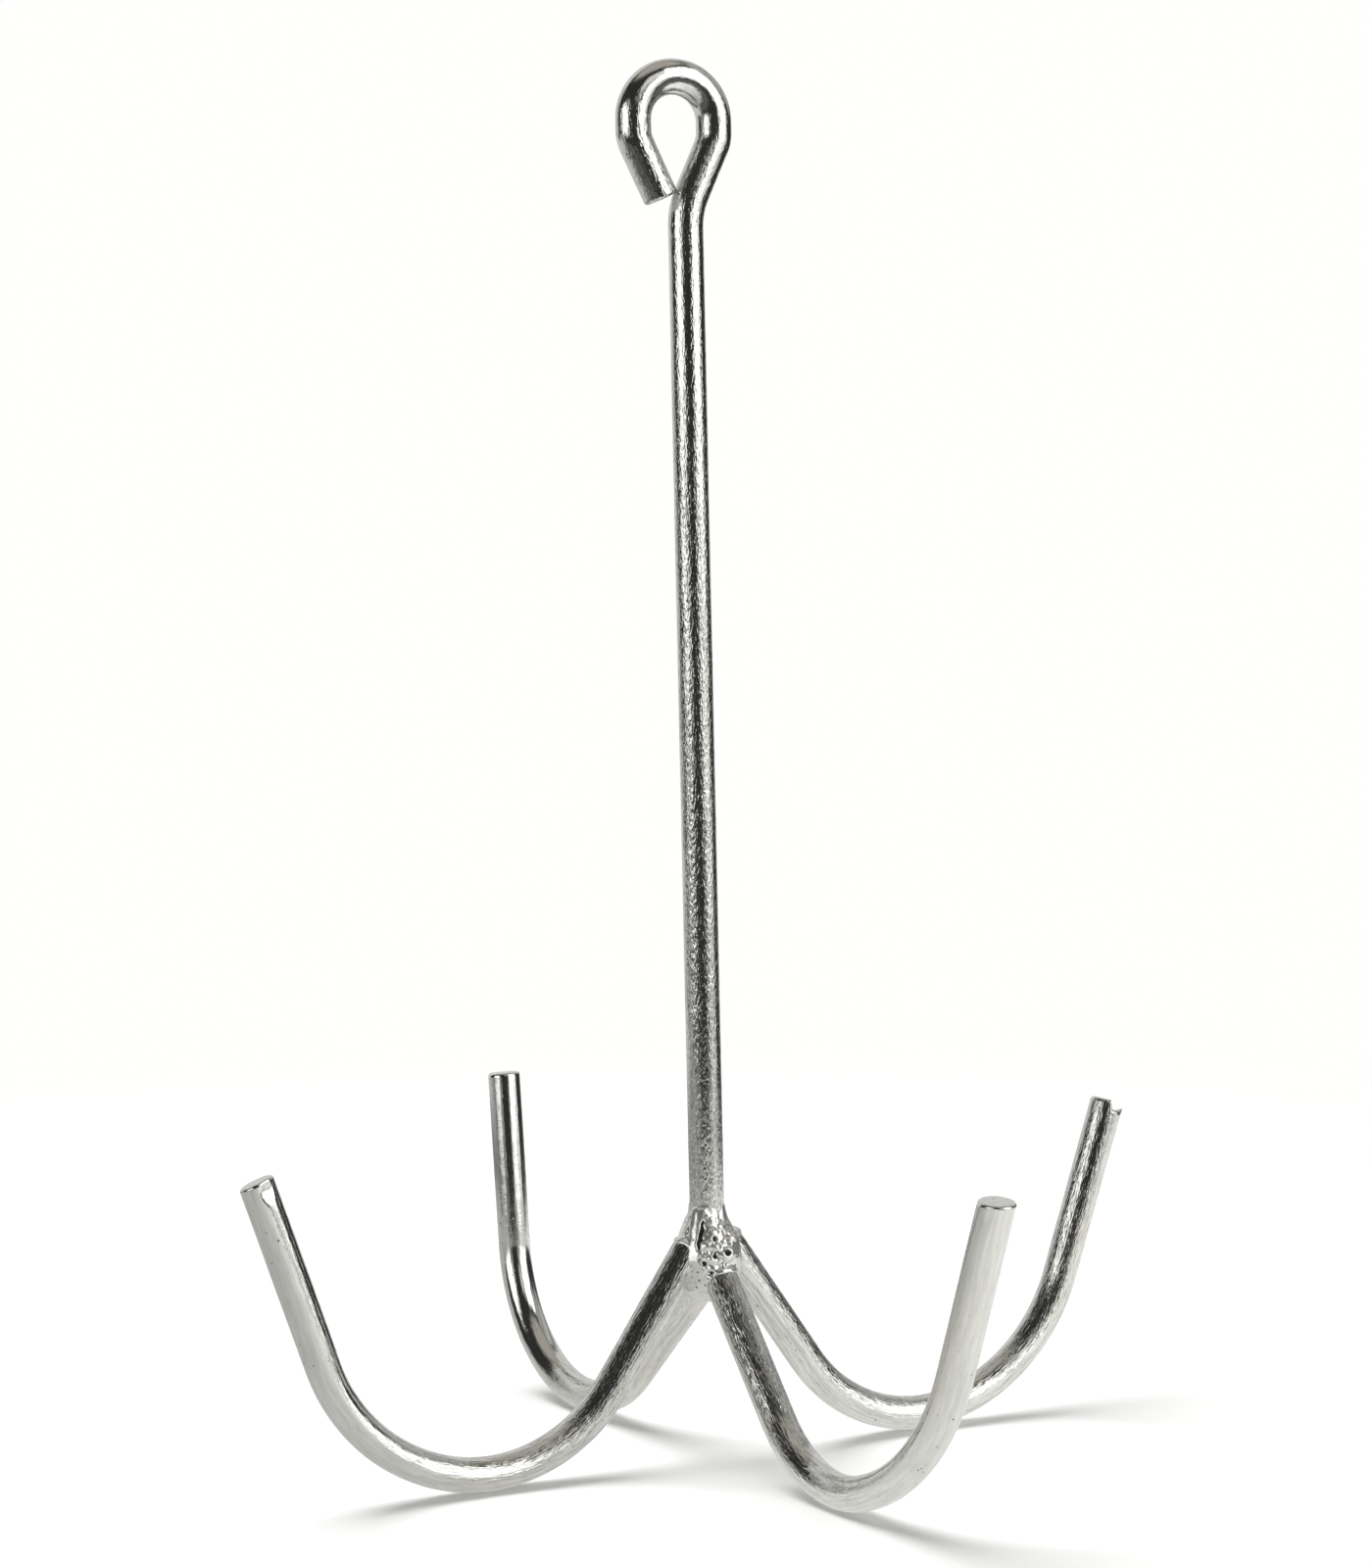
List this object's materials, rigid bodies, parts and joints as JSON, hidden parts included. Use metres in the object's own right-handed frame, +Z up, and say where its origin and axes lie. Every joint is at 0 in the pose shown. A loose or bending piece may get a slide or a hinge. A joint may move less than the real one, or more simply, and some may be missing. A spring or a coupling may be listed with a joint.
{
  "type": "grapnel hook",
  "caption": "Grapnel-style hanging hook of bent round bar: a long shank with a closed eye on top and upturned hooks welded around its foot.",
  "frame": {"origin": "where the shank's axis meets the floor plane under the hooks", "axes": "+Z up the shank to the eye; +X along the right-hand hook, +Y along the back hook (each within 3 degrees)"},
  "size_m": [0.17, 0.1659, 0.2405],
  "materials": {
    "plated_bar": "bright zinc plating",
    "plated_weld": "zinc plated weld metal"
  },
  "bodies": {
    "root": {"shank": "plated_bar", "hook_right": "plated_bar", "hook_back": "plated_bar", "hook_left": "plated_bar", "hook_front": "plated_bar", "weld_back_right": "plated_weld", "weld_back_left": "plated_weld", "weld_front_left": "plated_weld", "weld_front_right": "plated_weld"}
  },
  "joints": []
}
